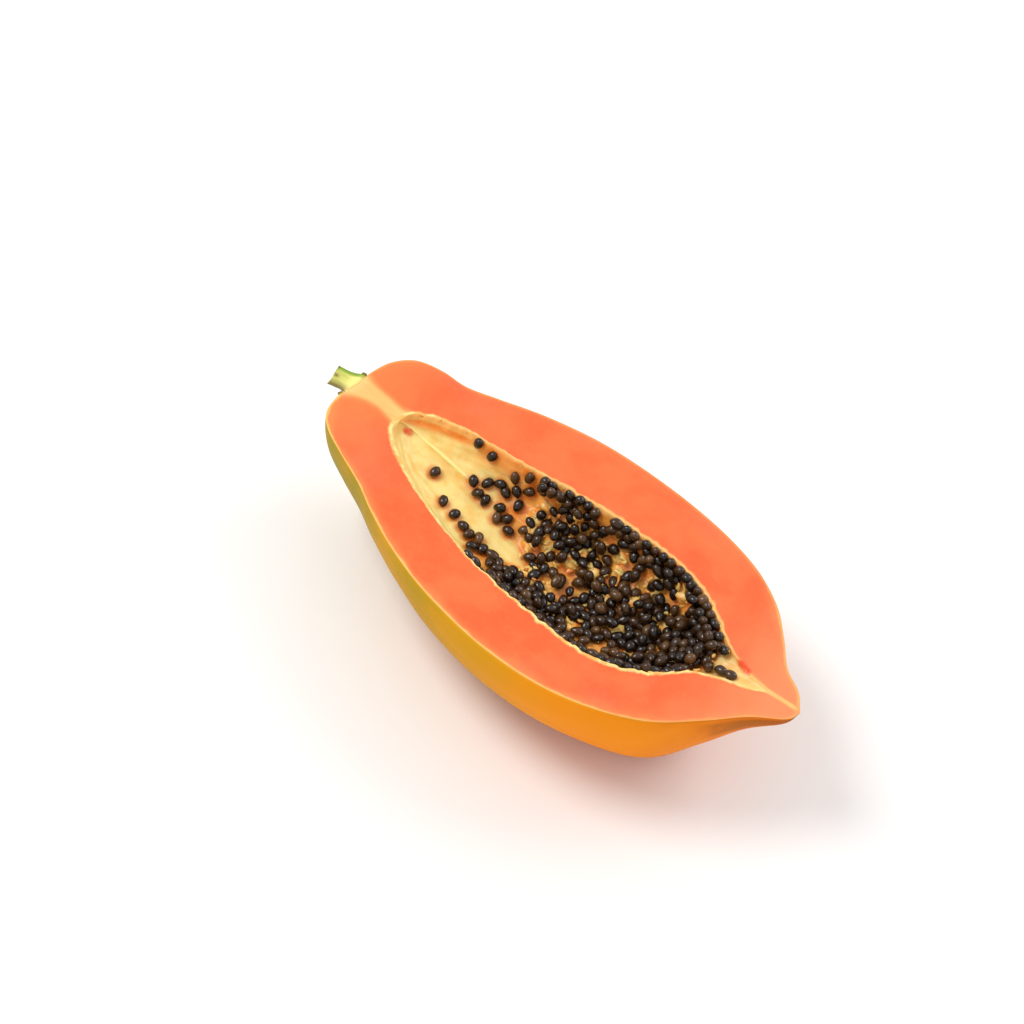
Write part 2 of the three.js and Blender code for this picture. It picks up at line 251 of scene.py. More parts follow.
def skin_at(u, angle):
    count, height = BODY_RIBS
    return boat(BODY, u, angle, 1.0, 1 + height * np.sin(angle)**2 * np.cos(count * angle))


def lining_at(u, angle):
    relief = np.ones_like(u)
    fade = np.sin(np.pi * np.clip(u * 1.15, 0, 1))**0.5
    for ridge in RIDGE_ANGLES:
        away = np.clip(np.abs(np.degrees(angle) - ridge) / RIDGE_HALF_WIDTH, 0, 1)
        relief = relief - RIDGE_HEIGHT * fade * (1 - away)**1.6
    return boat(CAVITY, u, angle, CAVITY_FULLNESS, relief)


def inward_at(u, angle):
    """The directions along the lining and into the hollow."""
    step = SLOPE_STEP
    before, after = np.maximum(u - step, 0), np.minimum(u + step, 1)
    along = lining_at(after, angle) - lining_at(before, angle)
    before, after = np.maximum(angle - step, 0), np.minimum(angle + step, np.pi)
    around = lining_at(u, after) - lining_at(u, before)
    inward = np.cross(around, along)
    return (along / np.linalg.norm(along, axis=1, keepdims=True),
            inward / np.linalg.norm(inward, axis=1, keepdims=True))


def ripple(points, size, rng, waves=14):
    """Smooth random height from -1 to 1 or so, with bumps of about one size."""
    total = np.zeros(len(points))
    for _ in range(waves):
        direction = rng.normal(size=3)
        direction /= np.linalg.norm(direction)
        pace = 2 * np.pi / (size * rng.uniform(0.7, 1.6))
        total += np.sin(points @ direction * pace + rng.uniform(0, 2 * np.pi))
    return total / math.sqrt(waves)


def bumps_at(points, size, height, seed):
    """A surface's own bumps, the same for any of its points."""
    return ripple(points, size, np.random.default_rng(seed)) * height


def smooth(low, high, value):
    t = np.clip((value - low) / (high - low), 0, 1)
    return t * t * (3 - 2 * t)


def make_object(name, points, faces, slots=None, values=None, materials=()):
    """A smooth mesh object from millimetre points, with a material and values at each point."""
    mesh = bpy.data.meshes.new(name)
    mesh.from_pydata([tuple((Vector(p) + SCAR) * MM) for p in points], [], faces)
    for material in materials:
        mesh.materials.append(material)
    if slots is not None:
        mesh.polygons.foreach_set("material_index", slots)
    for key, numbers in (values or {}).items():
        layer = mesh.attributes.new(key, "FLOAT", "POINT")
        layer.data.foreach_set("value", np.asarray(numbers, np.float32))
    mesh.polygons.foreach_set("use_smooth", [True] * len(mesh.polygons))
    mesh.update()
    piece = bpy.data.objects.new(name, mesh)
    bpy.context.scene.collection.objects.link(piece)
    return piece


class Shader:
    """A material's nodes, with sums written as calls."""

    def __init__(self, name):
        self.material = bpy.data.materials.new(name)
        self.material.use_nodes = True
        self.tree = self.material.node_tree
        self.surface = self.tree.nodes["Principled BSDF"]
        self.place = self.node("ShaderNodeTexCoord").outputs["Object"]

    def node(self, kind, inputs=None, **settings):
        made = self.tree.nodes.new(kind)
        for key, value in settings.items():
            setattr(made, key, value)
        for key, value in (inputs or {}).items():
            self.put(made.inputs[key], value)
        return made

    def put(self, socket, value):
        if isinstance(value, bpy.types.NodeSocket):
            self.tree.links.new(value, socket)
        else:
            socket.default_value = value

    def math(self, operation, *values):
        inputs = dict(enumerate(values))
        return self.node("ShaderNodeMath", inputs, operation=operation).outputs[0]

    def step(self, value, low, high):
        """0 below low and 1 above high, with a soft edge between them."""
        inputs = {"Value": value, "From Min": low, "From Max": high}
        made = self.node("ShaderNodeMapRange", inputs, interpolation_type="SMOOTHSTEP")
        return made.outputs["Result"]

    def fall(self, value, low, high):
        """1 below low and 0 above high, with a soft edge between them."""
        return self.math("SUBTRACT", 1.0, self.step(value, low, high))

    def times(self, first, second):
        return self.math("MULTIPLY", first, second)

    def noise(self, size_mm, detail=3.0, rough=0.55, stretch=(1, 1, 1), warp=0.0):
        place = self.place
        if stretch != (1, 1, 1):
            place = self.node("ShaderNodeMapping", {"Vector": place, "Scale": stretch}).outputs[0]
        inputs = {"Vector": place, "Scale": 1 / (size_mm * MM), "Detail": detail,
                  "Roughness": rough, "Distortion": warp}
        return self.node("ShaderNodeTexNoise", inputs).outputs["Fac"]

    def mix(self, share, first, second):
        made = self.node("ShaderNodeMix", data_type="RGBA")
        for socket, value in zip(MIX_INPUTS, (share, first, second)):
            self.put(made.inputs[socket], value)
        return made.outputs[MIX_OUTPUT]

    def value(self, name):
        return self.node("ShaderNodeAttribute", attribute_name=name).outputs["Fac"]

    def axis(self, name):
        return self.node("ShaderNodeSeparateXYZ", {0: self.place}).outputs[name]

    def bump(self, height, depth_mm, under=None):
        inputs = {"Height": height, "Distance": depth_mm * MM, "Strength": 1.0}
        if under is not None:
            inputs["Normal"] = under
        return self.node("ShaderNodeBump", inputs).outputs[0]

    def finish(self, colour, **inputs):
        self.put(self.surface.inputs["Base Color"], colour)
        for key, value in inputs.items():
            self.put(self.surface.inputs[key.replace("_", " ")], value)
        return self.material


def flesh_material():
    """Moist orange flesh, cream along the skin, round the hollow and in the core."""
    s = Shader("flesh")
    broad, soft, fine = s.noise(60, 2), s.noise(24, 2, warp=0.4), s.noise(2.2, 3)
    colour = s.mix(s.step(soft, 0.3, 0.7), srgb(249, 97, 46), srgb(250, 113, 60))
    colour = s.mix(s.times(s.step(broad, 0.46, 0.7), 0.6), colour, srgb(251, 104, 72))
    colour = s.mix(s.times(s.step(fine, 0.45, 0.8), 0.16), colour, srgb(253, 138, 82))
    along = s.axis("X")
    neck = s.fall(along, -0.136, -0.1)
    colour = s.mix(s.times(neck, 0.55), colour, srgb(252, 130, 66))
    tip = s.times(s.step(along, 0.058, 0.108), 0.7)
    colour = s.mix(tip, colour, srgb(251, 148, 96))
    to_skin, edge = s.value("to_skin"), s.value("edge")
    reach = s.times(s.noise(14, 2), 12.0)
    pale = s.fall(to_skin, 0.2, reach)
    colour = s.mix(s.times(pale, s.times(edge, 0.5)), colour, srgb(252, 150, 80))
    width = s.math("MULTIPLY_ADD", s.noise(6, 2), 2.6, 0.3)
    line = s.fall(to_skin, 0.2, width)
    colour = s.mix(s.times(line, edge), colour, srgb(252, 196, 110))
    fibre = s.noise(4, 3, stretch=(0.25, 1, 1))
    core = s.times(s.value("core"), s.math("MULTIPLY_ADD", fibre, 0.6, 0.62))
    colour = s.mix(core, colour, srgb(252, 164, 90))
    colour = s.mix(s.step(core, 0.4, 1.2), colour, srgb(253, 192, 116))
    colour = s.mix(s.value("cream"), colour, srgb(253, 208, 138))
    rim = s.fall(s.value("rim"), 0.5, s.math("ADD", fine, 0.75))
    rim_colour = s.mix(s.step(s.noise(5, 2), 0.4, 0.6), srgb(253, 216, 138), srgb(252, 180, 96))
    rim_colour = s.mix(s.times(s.value("far"), 0.75), rim_colour, srgb(253, 172, 92))
    colour = s.mix(rim, colour, rim_colour)
    colour = s.mix(s.value("red"), colour, srgb(228, 66, 14))
    normal = s.bump(s.noise(7, 3), 0.18)
    normal = s.bump(fine, 0.07, normal)
    return s.finish(colour, Normal=normal, Roughness=0.48, Subsurface_Weight=0.2,
                    Subsurface_Radius=(1.0, 0.3, 0.12), Subsurface_Scale=0.003,
                    Specular_IOR_Level=0.3, Coat_Weight=0.12, Coat_Roughness=0.3)


def lining_material():
    """The hollow's pale yellow lining, with orange painted shade high on its far side and among
    seeds.
    """
    s = Shader("lining")
    soft, fine = s.noise(10, 3, warp=0.5), s.noise(1.6, 4)
    streak = s.noise(3.0, 3, stretch=(0.3, 1, 1))
    colour = s.mix(s.step(soft, 0.35, 0.68), srgb(253, 224, 142), srgb(251, 204, 112))
    colour = s.mix(s.times(s.step(streak, 0.5, 0.75), 0.5), colour, srgb(255, 236, 168))
    # Painted shade: orange high on the far wall and in a band just under the lip, where that wall
    # lies in shade
    warm = s.times(s.value("warm"), s.math("MULTIPLY_ADD", soft, 0.8, 0.5))
    colour = s.mix(warm, colour, srgb(254, 146, 58))
    # Painted shade: the lining deeper orange among the seeds that shade it, and orange round the
    # edge of each gap
    bed = s.mix(s.step(s.noise(6, 3), 0.4, 0.6), srgb(250, 164, 60), srgb(238, 116, 32))
    colour = s.mix(s.times(s.value("bed"), 0.85), colour, bed)
    colour = s.mix(s.step(s.value("gap"), 0.1, 0.5), colour, srgb(255, 156, 58))
    pulp = s.mix(s.step(s.noise(2.6, 3), 0.4, 0.6), srgb(255, 204, 112), srgb(254, 158, 62))
    colour = s.mix(s.step(s.value("gap"), 0.4, 0.9), colour, pulp)
    # Painted highlight: a pale line along the ridge's raised crest
    colour = s.mix(s.value("crest"), colour, srgb(255, 240, 160))
    # Painted shade: an orange ring round each single seed on the lining
    colour = s.mix(s.times(s.value("halo"), 0.85), colour, srgb(236, 122, 32))
    colour = s.mix(s.value("tail"), colour,
                   s.mix(s.step(streak, 0.35, 0.65), srgb(252, 214, 138), srgb(253, 190, 104)))
    rim = s.fall(s.value("rim"), 0.5, s.math("ADD", fine, 1.0))
    rim_colour = s.mix(s.value("far"), srgb(253, 224, 150), srgb(255, 188, 108))
    colour = s.mix(rim, colour, rim_colour)
    red = s.times(s.value("red"), s.math("MULTIPLY_ADD", fine, 0.9, 0.35))
    colour = s.mix(red, colour, srgb(234, 78, 20))
    normal = s.bump(streak, 0.4)
    normal = s.bump(fine, 0.14, normal)
    return s.finish(colour, Normal=normal, Roughness=0.42, Subsurface_Weight=0.35,
                    Subsurface_Radius=(1.0, 0.5, 0.15), Subsurface_Scale=0.005,
                    Specular_IOR_Level=0.35, Coat_Weight=0.25, Coat_Roughness=0.2)


def skin_material():
    """Smooth thin skin: olive at the stem, gold in the middle, deep orange at the tip."""
    s = Shader("skin")
    soft = s.noise(30, 3, stretch=(0.5, 1, 1), warp=0.4)
    streak = s.noise(9, 3, stretch=(0.18, 1, 1))
    along = s.math("ADD", s.axis("X"), s.math("MULTIPLY_ADD", soft, 0.05, -0.025))
    colour = s.mix(s.step(along, -0.11, -0.02), srgb(172, 138, 14), srgb(216, 152, 2))
    colour = s.mix(s.step(along, -0.02, 0.05), colour, srgb(252, 148, 0))
    colour = s.mix(s.step(along, 0.055, 0.115), colour, srgb(224, 106, 4))
    colour = s.mix(s.times(s.step(along, 0.105, 0.112), 0.7), colour, srgb(120, 70, 16))
    to_cut = s.value("to_cut")
    mark = s.times(s.step(along, 0.078, 0.092), s.step(to_cut, 3, 10))
    mark = s.times(mark, s.fall(to_cut, 24, 46))
    colour = s.mix(s.times(mark, 0.7), colour, srgb(158, 88, 4))
    green = s.fall(along, -0.1, 0.0)
    green = s.times(green, s.step(streak, 0.4, 0.65))
    colour = s.mix(s.times(green, 0.6), colour, srgb(140, 136, 16))
    colour = s.mix(s.times(s.step(soft, 0.5, 0.75), 0.3), colour, srgb(250, 160, 16))
    # Painted shade: the skin darker and deeper orange towards the bottom
    low = s.fall(s.axis("Z"), 0.004, 0.034)
    colour = s.mix(s.times(low, 0.5), colour, srgb(214, 92, 4))
    edge = s.fall(to_cut, 0.1, 1.6)
    colour = s.mix(s.times(edge, 0.5), colour, srgb(246, 176, 70))
    cells = s.node("ShaderNodeTexVoronoi", {"Vector": s.place, "Scale": 230.0})
    speck = s.fall(cells.outputs["Distance"], 0.04, 0.12)
    speck = s.times(speck, s.step(s.noise(12, 2), 0.5, 0.7))
    colour = s.mix(s.times(speck, 0.4), colour, srgb(140, 84, 20))
    normal = s.bump(s.noise(14, 3), 0.5)
    normal = s.bump(s.noise(1.1, 2), 0.03, normal)
    return s.finish(colour, Normal=normal, Roughness=0.5, Specular_IOR_Level=0.07)


def seed_material():
    """Wet seeds from near black to brown, wrinkled under a clear coat."""
    s = Shader("seed")
    tone = s.value("tone")
    grain = s.noise(1.0, 3)
    colour = s.mix(s.step(tone, 0.25, 0.75), srgb(26, 11, 3), srgb(62, 36, 12))
    colour = s.mix(s.step(tone, 0.8, 1.0), colour, srgb(98, 66, 34))
    colour = s.mix(s.times(s.step(grain, 0.5, 0.8), 0.4), colour, srgb(92, 60, 30))
    normal = s.bump(grain, 0.18)
    return s.finish(colour, Normal=normal, Roughness=0.4, Specular_IOR_Level=0.15,
                    Coat_Weight=0.8, Coat_Roughness=0.1)


def pulp_material():
    """Wet shreds of pulp, from cream to orange."""
    s = Shader("pulp")
    tone = s.value("tone")
    colour = s.mix(s.step(tone, 0.2, 0.9), srgb(255, 200, 110), srgb(255, 140, 48))
    colour = s.mix(s.times(s.step(s.noise(2, 3), 0.4, 0.7), 0.4), colour, srgb(254, 172, 78))
    return s.finish(colour, Normal=s.bump(s.noise(0.9, 3), 0.12), Roughness=0.35,
                    Subsurface_Weight=0.5, Subsurface_Radius=(1.0, 0.5, 0.2),
                    Subsurface_Scale=0.004, Coat_Weight=0.3, Coat_Roughness=0.15)


def stem_material():
    """Fresh green outside, pale and fibrous where it was cut, brown at its pith."""
    s = Shader("stem")
    fibre = s.noise(1.2, 4, stretch=(0.2, 1, 1))
    colour = s.mix(s.step(fibre, 0.3, 0.7), srgb(112, 124, 44), srgb(160, 162, 78))
    cut = s.mix(s.step(fibre, 0.35, 0.7), srgb(190, 190, 92), srgb(214, 210, 116))
    foot = s.step(s.axis("X"), -0.147, -0.1405)
    cut = s.mix(foot, cut, srgb(238, 228, 136))
    colour = s.mix(s.value("cut"), colour, cut)
    # Painted shade: grey-olive on the stub's near, lower half, and a little on the knobs
    colour = s.mix(s.value("shade"), colour, srgb(146, 130, 72))
    colour = s.mix(s.value("green"), colour, srgb(128, 158, 44))
    colour = s.mix(s.value("brown"), colour, srgb(104, 70, 26))
    return s.finish(colour, Normal=s.bump(fibre, 0.25), Roughness=0.6, Specular_IOR_Level=0.3)


def hollow_stations(u):
    """Stations of the hollow that face the stations of the outline, across the cut."""
    dense = np.linspace(0, 1, FINE_STATIONS)
    middle = [(curve_through(shape["far"], dense) + curve_through(shape["near"], dense))[:, 0] / 2
              for shape in (BODY, CAVITY)]
    reach = [np.maximum.accumulate((m - m[0]) / (m[-1] - m[0])) for m in middle]
    wanted = HOLLOW_LEAN * np.interp(u, dense, reach[0]) + (1 - HOLLOW_LEAN) * u
    rising = reach[1] + np.arange(FINE_STATIONS) * 1e-9  # never level, so each has one station
    return np.interp(wanted, rising, dense)


def band(points, table):
    """1 inside a band given by x, middle y and half width, with a soft edge."""
    x, middle, half = np.array(table, float).T
    centre = np.interp(points[:, 0], x, middle)
    width = np.interp(points[:, 0], x, half)
    inside = 1 - smooth(0.4, 1.2, np.abs(points[:, 1] - centre) / width)
    start, end = smooth(x[0] - 3, x[0], points[:, 0]), smooth(x[-1] - 6, x[-1], points[:, 0])
    return inside * start * (1 - end)


def rim_at(place, side):
    """Width of the pale rim and the tear in it, at points of one side."""
    x, width, tear = np.array(RIM[side], float).T
    return np.interp(place[:, 0], x, width), np.interp(place[:, 0], x, tear)


def lip_height(place):
    """How far the rim's edge curls up, which varies along it."""
    wave = ripple(place * (1, 1, 0), 7, np.random.default_rng(11))
    return 0.1 + 0.4 * smooth(-0.6, 1.4, wave)


def torn(place, side, away):
    """Points near the rim moved in and out, less the farther they lie from it."""
    _, tear = rim_at(place, side)
    rng = np.random.default_rng(31 if side == "far" else 32)
    wave = 0.7 * ripple(place * (1, 1, 0), 6.5, rng) + 0.5 * ripple(place * (1, 1, 0), 2.8, rng)
    outward = 1 if side == "far" else -1
    moved = place.copy()
    moved[:, 1] += outward * tear * wave * np.exp(-(away / 2.2)**2)
    return moved


def station_at(x, degrees):
    """The station where the lining passes a given x at an angle."""
    dense = np.linspace(0, 1, LINE_STATIONS)
    line = lining_at(dense, np.full(LINE_STATIONS, math.radians(degrees)))[:, 0]
    return float(np.interp(x, np.maximum.accumulate(line), dense))


def spot(x, degrees, height=0.0):
    """A place on the lining, or over it, as a point."""
    u, angle = np.array([station_at(x, degrees)]), np.array([math.radians(degrees)])
    return (lining_at(u, angle) + inward_at(u, angle)[1] * height)[0]


def all_gaps():
    """The gaps seen in the mass of seeds, with smaller ones scattered between them."""
    rng = np.random.default_rng(17)
    gaps = list(GAPS)
    for count, low, high, turns in SMALL_GAPS:
        for _ in range(count):
            gaps.append((rng.uniform(low, high), rng.uniform(*turns),
                         rng.uniform(*SMALL_GAP_RADIUS)))
    return gaps


def near_spots(place, spots, radius):
    """1 at any of some points, fading out round them."""
    share = np.zeros(len(place))
    for centre in spots:
        distance = np.linalg.norm(place - centre, axis=1)
        share = np.maximum(share, 1 - smooth(0.5 * radius, 1.4 * radius, distance))
    return share


class Surface:
    """Points, their values and faces, put together patch by patch."""

    def __init__(self):
        self.points, self.faces, self.slots = [], [], []
        self.values = {key: [] for key in (
            "to_skin", "edge", "core", "rim", "warm", "crest", "red", "to_cut", "bed", "gap",
            "halo", "tail", "cream", "far",
        )}

    def add(self, place, **known):
        """The numbers of new points, whose values are 0 unless known."""
        start = sum(len(p) for p in self.points)
        self.points.append(place)
        for key, numbers in self.values.items():
            numbers.append(np.broadcast_to(known.get(key, 0.0), len(place)))
        return list(range(start, start + len(place)))

    def strip(self, first, second, slot, closed=True):
        """Quads between two rows of points."""
        for a, b in zip(range(len(first)), range(1, len(first) + closed)):
            b %= len(first)
            self.faces.append((first[a], first[b], second[b], second[a]))
            self.slots.append(slot)

    def gore(self, first, second, slot, poles):
        """Quads between two open rows, and a triangle to the pole at each end."""
        self.strip(first, second, slot, closed=False)
        self.faces.append((poles[0], first[0], second[0]))
        self.faces.append((poles[1], second[-1], first[-1]))
        self.slots += [slot, slot]


def loop_of(rows, poles):
    """Points round the cut: a pole, the far row, the other pole and the near row."""
    return [poles[0], *rows[0], poles[1], *reversed(rows[-1])]


def add_skin(surface, u):
    """The skin, from the far edge of the cut under the fruit to the near edge."""
    rows = []
    for angle in np.linspace(0, np.pi, SKIN_SIDES):
        place = skin_at(u, np.full(len(u), angle))
        lumps = bumps_at(place, *SKIN_LUMPS) * math.sin(angle)
        place[:, 2] = np.maximum(place[:, 2] - lumps, -SCAR.z)
        rows.append(surface.add(place, to_cut=np.minimum(angle, np.pi - angle) * SKIN_RADIUS))
    poles = [surface.add(skin_at(end, np.zeros(1)))[0] for end in (np.zeros(1), np.ones(1))]
    for first, second in zip(rows, rows[1:]):
        surface.gore(first, second, SKIN, poles)
    return loop_of(rows, poles)


def lining_values(place, degrees, side, to_rim, spots):
    """Where a row of the lining is red, bare, ridged with a painted highlight or in orange painted
    shade, as values 0 to 1.
    """
    x = place[:, 0]
    high = 1 - smooth(3, 15, -place[:, 2])
    under_lip = (1 - smooth(50, 62, x)) * smooth(1, 3, to_rim) * (1 - smooth(4, 8, to_rim))
    far_side = 1 - smooth(30, 62, np.full(len(x), degrees))
    seed_shade_start = np.interp(degrees, *np.array(SEED_SHADE_FRONT, float).T)
    along_slit = np.array((0.7, 1, 1))
    lone, red = spots["lone"], [centre * along_slit for centre in spots["red"]]
    return {
        "rim": to_rim / rim_at(place, side)[0],
        # Painted shade on the far wall, high up and just under the lip
        "warm": far_side * np.maximum(under_lip, high * smooth(54, 64, x)),
        # Painted highlight along the ridge's crest, which is also raised
        "crest": np.exp(-((degrees - RIDGE_ANGLES[0]) / CREST_WIDTH)**2) * (1 - smooth(60, 74, x)),
        "red": near_spots(place * along_slit, red, 1.8),
        # Painted shade among the seeds
        "bed": smooth(seed_shade_start - 4, seed_shade_start + 3, x),
        "gap": near_spots(place, spots["gap"], 3.4) * smooth(seed_shade_start + 3, seed_shade_start + 9, x),
        # Painted shade round each single seed
        "halo": near_spots(place, lone, 3.8) * (1 - near_spots(place, lone, 1.0)),
        "tail": smooth(203, 208, x),
        "far": float(side == "far"),
    }


def add_lining(surface, u):
    """The lining of the hollow, from the far rim over its floor to the near rim."""
    u = hollow_stations(u)
    spots = {
        "gap": [spot(x, degrees) for x, degrees, _ in all_gaps()],
        "lone": [spot(x, degrees) for x, degrees, _ in LONE_SEEDS],
        "red": [spot(x, degrees) for x, degrees in PIT + RED_SLIT],
    }
    floor_depth = np.maximum(-lining_at(u, np.full(len(u), np.pi / 2))[:, 2], 2)
    rows = []
    for angle in np.linspace(0, np.pi, LINING_SIDES):
        turn = np.full(len(u), angle)
        place = lining_at(u, turn)
        _, inward = inward_at(u, turn)
        side = "far" if angle < np.pi / 2 else "near"
        to_rim = np.minimum(angle, np.pi - angle) * floor_depth
        values = lining_values(place, math.degrees(angle), side, to_rim, spots)
        wrinkle = bumps_at(place * (0.3, 1, 1), *LINING_WRINKLES) * (1 + 2.5 * values["gap"])
        wrinkle = wrinkle + 0.5 * values["crest"] + 2.2 * values["gap"]
        bumps = (wrinkle + bumps_at(place, *LINING_DENTS)) * min(1, math.sin(angle) * 3)
        lean = LIP_SLOPE * (1 - np.exp(-to_rim / 0.9)) * (1 - smooth(190, 208, place[:, 0]))
        place = place + inward * bumps[:, None]
        place[:, 2] += lip_height(place) * np.exp(-(to_rim / 1.2)**2)
        place[:, 1] -= math.cos(angle) * lean
        rows.append(surface.add(torn(place, side, to_rim), **values))
    ends = (np.full(1, u[0] * 0.3), np.ones(1))
    poles = [surface.add(lining_at(end, np.zeros(1)))[0] for end in ends]
    for first, second in zip(rows, rows[1:]):
        surface.gore(second, first, LINING, poles)
    return loop_of(rows, poles)


def add_cut_face(surface, hollow_loop, skin_loop):
    """The cut face, in loops from the hollow to the skin, and the skin loop's own values."""
    points = np.vstack(surface.points)
    outer, inside = points[skin_loop], points[hollow_loop] * (1, 1, 0)
    width = np.linalg.norm((outer - inside)[:, :2], axis=1)
    is_far = np.arange(len(inside)) < len(inside) / 2
    near_tip = smooth(190, 215, outer[:, 0])
    edge = np.where(is_far, *(pale + change * near_tip for pale, change in PALE_EDGE.values()))
    rim_width = np.where(is_far, *(rim_at(inside, side)[0] for side in ("far", "near")))
    lip = lip_height(inside)
    slit = [spot(x, degrees) for x, degrees in RED_SLIT]
    loops = [hollow_loop]
    for share in FACE_SHARES[1:-1]:
        place = inside + (outer - inside) * share
        to_skin, to_hollow = width * (1 - share), width * share
        place[:, 2] = bumps_at(place, *FACE_WAVES)
        place[:, 2] += lip * np.exp(-(to_hollow / rim_width)**2) - 0.5 * np.exp(-to_skin / 0.5)
        x, core = place[:, 0], band(place, CORE_BAND)
        loops.append(surface.add(
            place, to_skin=to_skin, edge=edge, rim=to_hollow / rim_width,
            core=np.maximum(core, band(place, TAIL_STREAK)),
            cream=core * np.maximum(1 - smooth(-2, 6, x), smooth(24, 30, x)) * 0.6,
            red=near_spots(place, slit, 2.0), far=is_far * smooth(52, 62, x),
        ))
    loops.append(skin_loop)
    for first, second in zip(loops, loops[1:]):
        surface.strip(first, second, FLESH)
    return {"core": band(outer, CORE_BAND), "edge": edge}


def make_fruit():
    surface = Surface()
    u = np.linspace(0, 1, STATIONS + 1)[1:-1]
    skin_loop = add_skin(surface, u)
    hollow_loop = add_lining(surface, u)
    skin_edge = add_cut_face(surface, hollow_loop, skin_loop)
    values = {key: np.concatenate(numbers) for key, numbers in surface.values.items()}
    for key, numbers in skin_edge.items():
        values[key][skin_loop] = numbers
    materials = (flesh_material(), lining_material(), skin_material())
    piece = make_object("papaya_half", np.vstack(surface.points), surface.faces, surface.slots,
                        values, materials)
    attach(piece, "root")
    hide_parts("fruit_half")


def egg(stations=9, sides=12):
    """One seed's points and faces: an egg of length 1 along X, blunter at one end."""
    points, faces = [(-0.5, 0, 0)], []
    for i in range(1, stations):
        turn = math.pi * i / stations
        x, r = -0.5 * math.cos(turn), 0.5 * math.sin(turn) * (1 - 0.12 * math.cos(turn))
        for k in range(sides):
            a = 2 * math.pi * k / sides
            points.append((x, r * math.cos(a), r * math.sin(a)))
    points.append((0.5, 0, 0))
    last = len(points) - 1
    for k in range(sides):
        j = (k + 1) % sides
        faces.append((1 + j, 1 + k, 0))
        for i in range(stations - 2):
            a, b = 1 + i * sides, 1 + (i + 1) * sides
            faces.append((a + j, b + j, b + k, a + k))
        faces.append((last - sides + k, last - sides + j, last))
    return np.array(points), faces


def settle_seeds(rng):
    """Seeds crowded on the lining, pushed apart until they hardly touch."""
    front = np.array(SEED_FRONT, float).T
    end = np.array(SEED_END, float).T
    inset = 0.5 * SEED_SIZE[1]
    least, most = SEED_HEIGHTS
    gaps = [(spot(x, degrees, least), radius) for x, degrees, radius in all_gaps()]
    stretch = rng.uniform(0.8, 1.25, SEED_COUNT)
    turn = rng.uniform(*SEED_TURNS, SEED_COUNT)
    low, high = np.interp(turn, *front) + inset, np.interp(turn, *end) - inset
    x = low + (high - low) * rng.uniform(0, 1, SEED_COUNT)
    u = np.array([station_at(a, d) for a, d in zip(x, turn)])
    lift = rng.uniform(least, START_HEIGHT, SEED_COUNT)
    step = SLOPE_STEP
    far_off = np.eye(SEED_COUNT) * 99  # keeps a seed from pushing itself
    for _ in range(SETTLING_ROUNDS):
        angle = np.radians(turn)
        base = lining_at(u, angle)
        along, inward = inward_at(u, angle)
        around = lining_at(u, angle + step) - lining_at(u, angle - step)
        length = np.linalg.norm(around, axis=1)
        around /= length[:, None]
        pace_around = np.maximum(length / (2 * math.degrees(step)), 0.1)
        pace_along = np.linalg.norm(lining_at(u + step, angle) - base, axis=1) / step
        pace_along = np.maximum(pace_along, 30)
        place = base + inward * lift[:, None]
        above = np.maximum(place[:, 2] + SEED_HEADROOM, 0)
        rise = RIM_DRIFT * (1 - smooth(15, 45, turn))
        turn = turn - (np.sign(turn - 90) * above + rise) / pace_around
        apart = place[:, None] - place[None]
        distance = np.linalg.norm(apart, axis=2) + far_off
        push = np.maximum(SEED_SPACING - distance, 0) / distance
        move = (apart * push[..., None]).sum(1) * SEED_PUSH
        for centre, radius in gaps:
            apart = place - centre
            distance = np.linalg.norm(apart, axis=1)
            push = np.maximum(radius * stretch - distance, 0) / np.maximum(distance, 0.5)
            move += apart * push[:, None] * GAP_PUSH
        u = u + (move * along).sum(1) / pace_along
        turn = turn + (move * around).sum(1) / pace_around
        tallest = most - (most - NEAR_HEIGHT) * smooth(102, 116, turn)
        lift = np.clip(lift + (move * inward).sum(1) - SINKING, least, tallest)
        turn = np.clip(turn, *SEED_TURNS)
        base = lining_at(u, np.radians(turn))[:, 0]
        low, high = np.interp(turn, *front) + inset, np.interp(turn, *end) - inset
        u = u + (np.clip(base, low, high) - base) / pace_along
        # Rounded, so that the arithmetic's last digits can't grow from round to round
        u, turn, lift = (np.round(numbers, SETTLED_DIGITS) for numbers in (u, turn, lift))
    return u, turn, lift


def turned_body(shape, size, lumps, axis, inward, centre):
    """A lumpy copy of a shape, its long axis along one direction and its back to the lining."""
    across = np.cross(inward, axis)
    across /= np.linalg.norm(across)
    turned = np.stack([axis, across, np.cross(axis, across)])
    return (shape * size * lumps) @ turned + centre


def join_shells(name, bodies, tones, shape_faces, material):
    """One object from many small closed shells that have the same faces."""
    size = len(bodies[0])
    starts = range(0, size * len(bodies), size)
    faces = [tuple(k + start for k in face) for start in starts for face in shape_faces]
    values = {"tone": np.repeat(tones, size)}
    return make_object(name, np.vstack(bodies), faces, values=values, materials=(material,))


